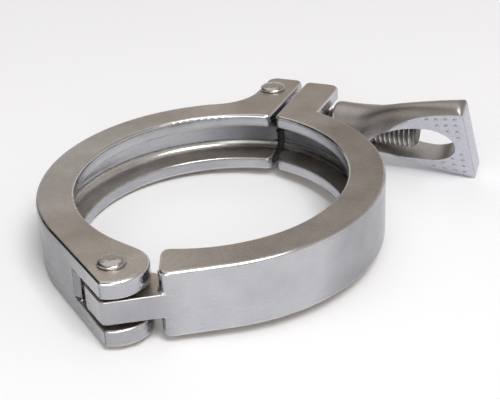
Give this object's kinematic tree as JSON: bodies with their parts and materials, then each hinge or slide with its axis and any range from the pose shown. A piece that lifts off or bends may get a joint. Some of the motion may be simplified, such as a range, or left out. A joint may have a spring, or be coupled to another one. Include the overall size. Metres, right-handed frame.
{
  "type": "sanitary hinged clamp",
  "caption": "Heavy-duty sanitary hinged clamp in polished stainless steel, closed by a swing bolt and a wing nut, for tube ferrules.",
  "frame": {"origin": "centre of the ferrule seat in the tongue half, at half the clamp's height", "axes": "+Z along the pipe's axis, up as the clamp lies, +Y from the hinge to the ears, +X along the swing bolt to the wing nut"},
  "size_m": [0.1107, 0.1365, 0.029],
  "materials": {
    "cast_stainless": "polished investment casting",
    "machined_stainless": "satin machined"
  },
  "bodies": {
    "tongue_half": {"tongue_half": "cast_stainless"},
    "clevis_half": {"clevis_half": "cast_stainless", "hinge_pin": "machined_stainless", "bolt_pin": "machined_stainless"},
    "swing_bolt": {"swing_bolt": "machined_stainless"},
    "wing_nut": {"wing_nut": "cast_stainless"}
  },
  "joints": [
    {"name": "hinge", "type": "hinge", "parent": "tongue_half", "child": "clevis_half", "pos_m": [0.0014, -0.0533, 0], "axis": [0, 0, 1], "range_deg": [0, 11.3]},
    {"name": "bolt_swing", "type": "hinge", "parent": "clevis_half", "child": "swing_bolt", "pos_m": [-0.001, 0.0637, 0], "axis": [0, 0, 1], "range_deg": [0, 180]},
    {"name": "nut_travel", "type": "slide", "parent": "swing_bolt", "child": "wing_nut", "axis": [1, 0, 0], "range_m": [0, 0.0235]}
  ],
  "couplings": [
    {"joint": "nut_travel", "follows": "hinge", "m_per_rad": 0.117}
  ]
}
